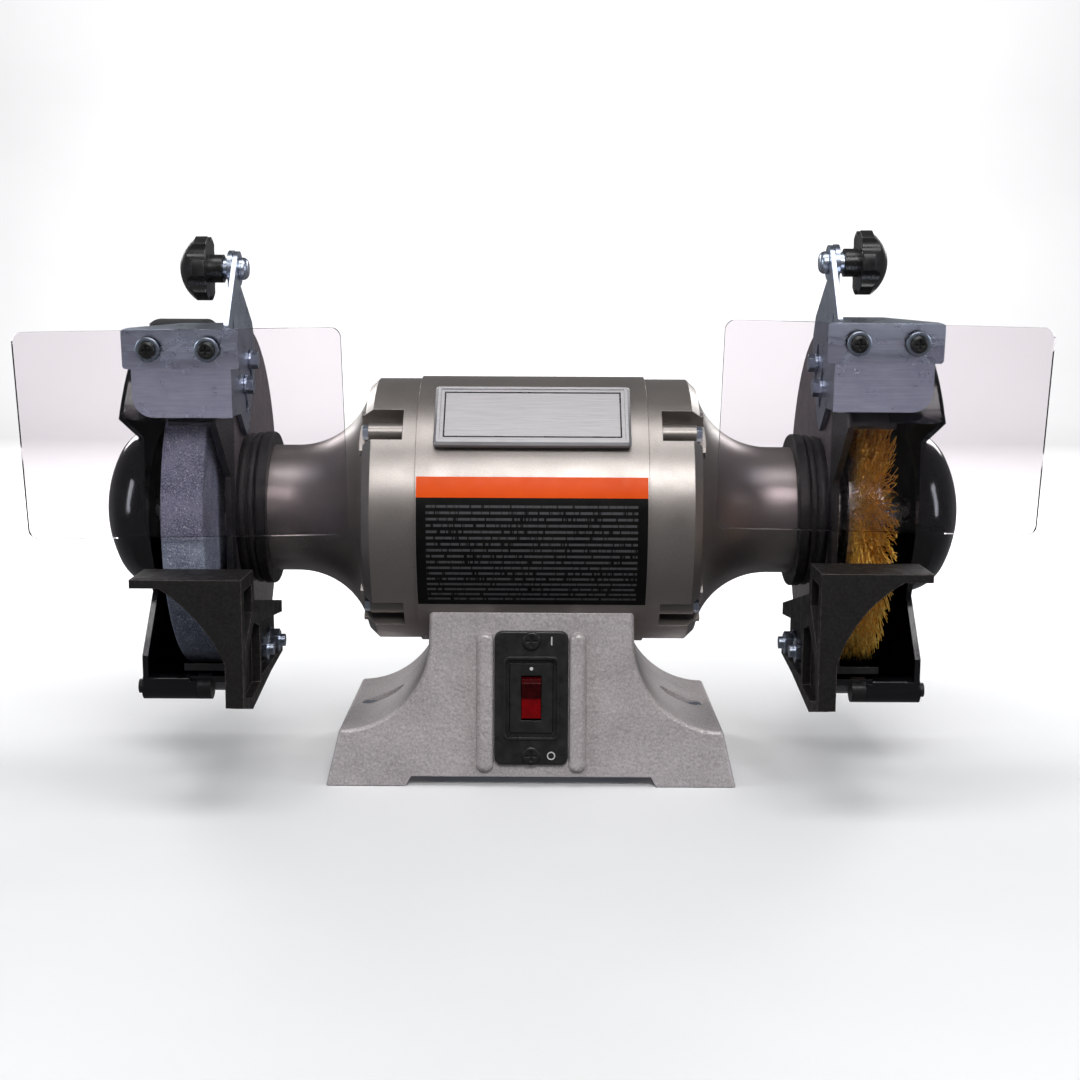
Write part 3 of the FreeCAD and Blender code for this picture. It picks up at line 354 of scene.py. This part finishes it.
def black_plastic(name, tone=0.012, rough=(0.22, 0.4)):
    """Dark plastic; tone is how dark, rough its lowest and highest roughness."""
    s = Surface(name, Specular_IOR_Level=0.5)
    colour = s.ramp(s.noise(160, 4), (0.3, (tone * 0.7,) * 3), (0.7, (tone * 1.6, tone * 1.5, tone * 1.4)))
    roughness = s.ramp(s.noise(80, 4), (0.3, rough[0]), (0.7, rough[1]))
    return s.finish(colour, roughness, height=s.noise(1500, 2), depth=0.00003)


def toggle_red():
    """Red plastic with painted shade: darker above the rocker's middle, lighter below it."""
    s = Surface("toggle_red", Specular_IOR_Level=0.2)
    middle = box_middle("switch_toggle").z
    # painted shade: the darker red above the rocker's middle and the lighter red below it are shaded and lit
    # copies of one plastic
    upper = s.maths("GREATER_THAN", s.axis("Z"), middle)
    dark = s.ramp(s.noise(200, 3), (0.3, (0.035, 0.0, 0.001)), (0.7, (0.065, 0.001, 0.002)))
    bright = s.ramp(s.noise(200, 3), (0.3, (0.15, 0.0, 0.001)), (0.7, (0.24, 0.001, 0.003)))
    rough = s.ramp(s.noise(90, 2), (0.3, 0.2), (0.7, 0.3))
    return s.finish(s.mix(upper, bright, dark), rough)


def nameplate_metal():
    """Satin aluminium with fine brushing along its length."""
    s = Surface("plate_aluminium", Metallic=0.9)
    brushing = s.noise(40, 4, 0.7, s.stretched((1, 45, 45)))
    colour = s.ramp(brushing, (0.3, (0.36, 0.35, 0.36)), (0.7, (0.50, 0.485, 0.50)))
    rough = s.ramp(brushing, (0.3, 0.42), (0.7, 0.55))
    return s.finish(colour, rough, height=brushing, depth=0.00002, soften=0.0004)


LABEL_HEADER = 11.5        # degrees above the horizontal where the orange band ends
LABEL_LINES = (8.5, -33.5)  # the rows lie between these angles
LABEL_PITCH = 2.55         # degrees from one row to the next
LABEL_ROW_SHARE = 0.42     # how much of that a row fills
LABEL_HALF = 0.064         # half the width of the printed rows
LABEL_DASHES = 420.0       # how finely the rows are broken up


def label_film():
    """Printed film: a plain orange band over black, with rows of grey dashes in place of words."""
    s = Surface("label_film", Specular_IOR_Level=0.12)
    rise = s.maths("SUBTRACT", s.axis("Z"), SPINDLE_Z)
    forward = s.maths("MULTIPLY", s.axis("Y"), -1.0)
    angle = s.maths("MULTIPLY", s.maths("ARCTAN2", rise, forward), 180 / math.pi)
    header = s.maths("GREATER_THAN", angle, LABEL_HEADER)
    row = s.maths("DIVIDE", s.maths("SUBTRACT", LABEL_LINES[0], angle), LABEL_PITCH)
    within_row = s.maths("LESS_THAN", s.maths("FRACT", row), LABEL_ROW_SHARE)
    inside = s.maths("MULTIPLY", s.maths("GREATER_THAN", row, 0.0),
                     s.maths("GREATER_THAN", angle, LABEL_LINES[1]))
    node = s.node("ShaderNodeCombineXYZ")
    along = s.maths("MULTIPLY", s.axis("X"), LABEL_DASHES)
    s.fill(node, in0=along, in1=s.maths("MULTIPLY", s.maths("FLOOR", row), 7.3))
    words = s.ramp(s.noise(1.0, 3, 0.7, node.outputs[0]), (0.40, 0.0), (0.47, 1.0))
    sideways = s.maths("LESS_THAN", s.maths("ABSOLUTE", s.axis("X")), LABEL_HALF)
    print_mask = s.maths("MULTIPLY", s.maths("MULTIPLY", within_row, inside), sideways)
    print_mask = s.maths("MULTIPLY", print_mask, words)
    black = s.ramp(s.noise(60, 3), (0.3, (0.003, 0.003, 0.003)), (0.7, (0.007, 0.007, 0.006)))
    body = s.mix(print_mask, black, (0.075, 0.075, 0.078))
    orange = s.ramp(s.noise(40, 3), (0.3, (0.80, 0.075, 0.001)), (0.7, (0.88, 0.095, 0.002)))
    rough = s.ramp(s.noise(110, 3), (0.3, 0.28), (0.7, 0.4))
    return s.finish(s.mix(header, body, orange), rough, soften=0.0)


def white_print():
    """Off-white, for the small marks on the switch."""
    s = Surface("white_print", Specular_IOR_Level=0.3)
    colour = s.ramp(s.noise(400, 3), (0.3, (0.62, 0.62, 0.61)), (0.7, (0.76, 0.76, 0.75)))
    return s.finish(colour, s.ramp(s.noise(300, 2), (0.3, 0.4), (0.7, 0.55)), soften=0.0)


def copper():
    """Copper with fine bands across the spindle, for turns of wire."""
    s = Surface("copper", Metallic=1.0)
    turns = s.noise(60, 3, 0.6, s.stretched((30, 1, 1)))
    colour = s.ramp(turns, (0.3, (0.32, 0.11, 0.04)), (0.7, (0.62, 0.27, 0.12)))
    return s.finish(colour, s.ramp(turns, (0.3, 0.25), (0.7, 0.45)), height=turns, depth=0.0002)


def laminations():
    """Dark metal with fine bands across the spindle, for a stack of sheets."""
    s = Surface("laminations", Metallic=0.8)
    stack = s.noise(60, 2, 0.5, s.stretched((40, 1, 1)))
    colour = s.ramp(stack, (0.3, (0.10, 0.10, 0.105)), (0.7, (0.24, 0.24, 0.25)))
    return s.finish(colour, s.ramp(stack, (0.3, 0.4), (0.7, 0.6)), height=stack, depth=0.0001)


def pale_floor():
    """Near white and rough, faintly clouded."""
    s = Surface("pale_floor", Specular_IOR_Level=0.2)
    colour = s.ramp(s.noise(3, 3), (0.3, (0.92, 0.92, 0.922)), (0.7, (0.95, 0.95, 0.952)))
    rough = s.ramp(s.noise(20, 3), (0.3, 0.6), (0.7, 0.75))
    return s.finish(colour, rough, soften=0.0)


def make_materials():
    """One material for every slot of the record."""
    return {
        "base_paint": base_paint(),
        "motor_paint": motor_paint(),
        "guard_paint": guard_paint(),
        "cover_paint": cover_paint(),
        "collar_rubber": rubber(),
        "zinc": zinc(),
        "steel": machined_steel(),
        "rest_iron": rest_iron(),
        "abrasive": abrasive(),
        "wire": wire(),
        "shield_plastic": shield_plastic(),
        "black_plastic": black_plastic("black_plastic"),
        "switch_plastic": black_plastic("switch_plastic", 0.016, (0.25, 0.42)),
        "toggle_red": toggle_red(),
        "plate_aluminium": nameplate_metal(),
        "label_film": label_film(),
        "copper": copper(),
        "laminations": laminations(),
        "capacitor_skin": black_plastic("capacitor_skin", 0.03, (0.4, 0.6)),
    }


def dress_cad(materials):
    slots = {part["node"]: part["material_slot"] for part in frame["record"]["subparts"]}
    for name, node in NODES.items():
        node.data.materials.clear()
        node.data.materials.append(materials[slots[name]])


# Meshes made here
def piece(name, vertices, faces, material, body, slot, smooth=True):
    """A mesh that rides on a body."""
    mesh = bpy.data.meshes.new(name)
    mesh.from_pydata(vertices, [], faces)
    mesh.materials.append(material)
    if smooth:
        mesh.shade_smooth()
    made = bpy.data.objects.new(name, mesh)
    bpy.context.scene.collection.objects.link(made)
    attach(made, body)
    return made


def ring_mesh(centre, axis, outline, steps=48):
    """Turns a closed (along, radius) outline about an axis through centre."""
    axis = Vector(axis).normalized()
    side = axis.orthogonal().normalized()
    up = axis.cross(side)
    vertices = []
    faces = []
    count = len(outline)
    for i in range(steps):
        turn = 2 * math.pi * i / steps
        spoke = side * math.cos(turn) + up * math.sin(turn)
        vertices += [Vector(centre) + axis * along + spoke * radius for along, radius in outline]
        base = i * count
        following = ((i + 1) % steps) * count
        for j in range(count):
            k = (j + 1) % count
            faces.append((base + j, base + k, following + k, following + j))
    return vertices, faces


WIRE_COUNT = 3400
WIRE_RADIUS = 0.00026
WIRE_STEPS = 9
CRIMP = 0.0007


def wire_brush(material):
    """The wire wheel's face: crimped wires that fan out from the hub, some longer and some bent aside."""
    rng = random.Random(7)
    low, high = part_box("wire_brush")
    middle_x = (low.x + high.x) / 2
    half = (high.x - low.x) / 2
    reach = (high.z - low.z) / 2
    root = (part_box("wire_wheel_hub")[1].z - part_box("wire_wheel_hub")[0].z) / 2 - 0.001
    vertices = []
    faces = []
    for _ in range(WIRE_COUNT):
        angle = rng.uniform(0, 2 * math.pi)
        spread = rng.uniform(-1, 1)
        start_x = middle_x + spread * half * 0.72
        end_x = middle_x + max(-1, min(1, spread + rng.gauss(0, 0.22))) * half * 0.98
        end = min(reach, reach * rng.uniform(0.93, 1.0))
        lean = rng.gauss(0, 0.045)
        phase = rng.uniform(0, 2 * math.pi)
        waves = rng.uniform(5.0, 8.0)
        crimp = CRIMP * rng.uniform(0.6, 1.5)
        base = len(vertices)
        for i in range(WIRE_STEPS + 1):
            share = i / WIRE_STEPS
            radius = root + (end - root) * share
            wave = crimp * math.sin(phase + waves * 2 * math.pi * share)
            sway = 0.6 if i < WIRE_STEPS else 0
            across = crimp * math.cos(phase * 1.7 + waves * 2 * math.pi * share) * sway
            at = angle + lean * share * share + wave / radius
            x = start_x + (end_x - start_x) * share + across
            x = min(high.x - WIRE_RADIUS, max(low.x + WIRE_RADIUS, x))
            outward = Vector((0, math.cos(at), math.sin(at)))
            around = Vector((0, -math.sin(at), math.cos(at)))
            centre = Vector((x, 0, SPINDLE_Z)) + outward * radius
            for k in range(3):
                turn = 2 * math.pi * k / 3
                offset = around * math.cos(turn) + Vector((1, 0, 0)) * math.sin(turn)
                vertices.append(centre + offset * WIRE_RADIUS)
        for i in range(WIRE_STEPS):
            for k in range(3):
                a = base + 3 * i + k
                b = base + 3 * i + (k + 1) % 3
                faces.append((a, b, b + 3, a + 3))
        tip = base + 3 * WIRE_STEPS
        faces += [(base + 2, base + 1, base), (tip, tip + 1, tip + 2)]
    brush = piece("wire_bristles", vertices, faces, material, "spindle", "wire")
    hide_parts("wire_brush")


WASHER_RADIUS = 0.007
HEAD_HEIGHT = 0.0031       # from the front of a screw's head to its washer


def shield_washers(material):
    """Bright washers under the black heads of the shield's screws."""
    axis = Vector((0, -math.cos(SHIELD_TILT), -math.sin(SHIELD_TILT)))
    outline = [(-0.0008, 0.0051), (0.0004, 0.0051), (0.0004, 0.0066), (0.0001, 0.00705), (-0.0008, 0.00705)]
    for side in SIDES:
        low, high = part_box(side + "_shield_screws")
        vertices = []
        faces = []
        for x in (low.x + WASHER_RADIUS, high.x - WASHER_RADIUS):
            head = Vector((x, low.y + HEAD_HEIGHT, low.z + WASHER_RADIUS + 0.0002))
            made, sides = ring_mesh(head, axis, outline)
            faces += [tuple(i + len(vertices) for i in face) for face in sides]
            vertices += made
        piece(side + "_shield_washers", vertices, faces, material, side + "_shield", "zinc", smooth=False)


FACE_SLOPE = math.radians(4.25)
FACE_MIDDLE = Vector((0, -0.06834, SPINDLE_Z - 0.110))


def on_face(x, out, rise):
    """A point on the base's sloping front, measured from the middle of the switch plate."""
    up = Vector((0, math.sin(FACE_SLOPE), math.cos(FACE_SLOPE)))
    forward = Vector((0, -math.cos(FACE_SLOPE), math.sin(FACE_SLOPE)))
    return FACE_MIDDLE + Vector((x, 0, 0)) + up * rise + forward * out


MARK_THICK = 0.0003
MARK_X = 0.0125            # to the right of the screws
MARK_OUT = 0.0034          # the bar's and ring's backs, 0.1 mm inside the switch plate's front
SCREW_RISE = 0.036         # the plate's screws, above and below its middle
BAR_HALF = (0.0004, 0.0026)  # half the bar's width and height


def switch_marks(material):
    """White marks on the switch: a dot over the rocker, a bar and a ring beside the two screws."""
    forward = on_face(0, 1, 0) - on_face(0, 0, 0)
    disc = [(0, 0.0001), (MARK_THICK, 0.0001), (MARK_THICK, 0.0011), (0, 0.0011)]
    ring = [(0, 0.0019), (MARK_THICK, 0.0019), (MARK_THICK, 0.0026), (0, 0.0026)]
    dot_place = on_face(0, 0.0024, 0.0185)
    ring_place = on_face(MARK_X, MARK_OUT, -SCREW_RISE)
    for name, place, outline in (("switch_dot", dot_place, disc), ("switch_ring", ring_place, ring)):
        piece(name, *ring_mesh(place, forward, outline, 24), material, "frame", "label_film", smooth=False)
    half_x, half_rise = BAR_HALF
    bar = ((-half_x, -half_rise), (half_x, -half_rise), (half_x, half_rise), (-half_x, half_rise))
    corners = [on_face(MARK_X + x, out, SCREW_RISE + rise)
               for out in (MARK_OUT, MARK_OUT + MARK_THICK) for x, rise in bar]
    faces = [(0, 1, 2, 3), (7, 6, 5, 4)] + [(i, i + 4, (i + 1) % 4 + 4, (i + 1) % 4) for i in range(4)]
    piece("switch_bar", corners, faces, material, "frame", "label_film", smooth=False)


PLATE_TILT = math.radians(43)
PANEL_HALF = (0.0565, 0.021)       # half the sunk panel's width and height
BORDER_OUT = (0.0898, 0.0901)      # the line's back and front, from the spindle
BORDER_INSET = (0.0022, 0.0031)    # its outer and inner edges, from the panel's edge


def on_nameplate(x, out, rise):
    """A point on the nameplate, by its distance from the spindle and its height up the plate."""
    outward = Vector((0, -math.sin(PLATE_TILT), math.cos(PLATE_TILT)))
    up = Vector((0, math.cos(PLATE_TILT), math.sin(PLATE_TILT)))
    return Vector((x, 0, SPINDLE_Z)) + outward * out + up * rise


def nameplate_border(material):
    """A thin dark line around the blank panel of the nameplate."""
    vertices = []
    for out in BORDER_OUT:
        for inset in BORDER_INSET:
            x = PANEL_HALF[0] - inset
            rise = PANEL_HALF[1] - inset
            corners = ((-x, -rise), (x, -rise), (x, rise), (-x, rise))
            vertices += [on_nameplate(along, out, up) for along, up in corners]
    faces = []
    for i in range(4):
        j = (i + 1) % 4
        faces += [(8 + i, 8 + j, 12 + j, 12 + i), (4 + i, 4 + j, j, i), (i, j, 8 + j, 8 + i),
                  (12 + i, 12 + j, 4 + j, 4 + i)]
    piece("nameplate_border", vertices, faces, material, "frame", "plate_aluminium", smooth=False)


BACKDROP_Y = 2.4
BACKDROP_BEND = 0.8
BACKDROP_HALF = 6.0
FLOOR_DROP = 0.0004        # keeps the floor clear of the feet


def make_floor():
    """A pale floor that curves up into a backdrop."""
    profile = [(-4.0, 0.0)]
    for i in range(13):
        turn = math.radians(90 * i / 12)
        profile.append((BACKDROP_Y + BACKDROP_BEND * math.sin(turn), BACKDROP_BEND * (1 - math.cos(turn))))
    profile.append((BACKDROP_Y + BACKDROP_BEND, 4.0))
    vertices = [(x, y, z - FLOOR_DROP) for y, z in profile for x in (-BACKDROP_HALF, BACKDROP_HALF)]
    faces = [(2 * i, 2 * i + 1, 2 * i + 3, 2 * i + 2) for i in range(len(profile) - 1)]
    mesh = bpy.data.meshes.new("floor")
    mesh.from_pydata(vertices, [], faces)
    mesh.materials.append(pale_floor())
    mesh.shade_smooth()
    floor = bpy.data.objects.new("floor", mesh)
    bpy.context.scene.collection.objects.link(floor)
    floor.visible_diffuse = False
    floor.visible_glossy = False


make_camera()
make_lights()
make_floor()
materials = make_materials()
dress_cad(materials)
wire_brush(materials["wire"])
shield_washers(materials["zinc"])
switch_marks(white_print())
nameplate_border(materials["black_plastic"])
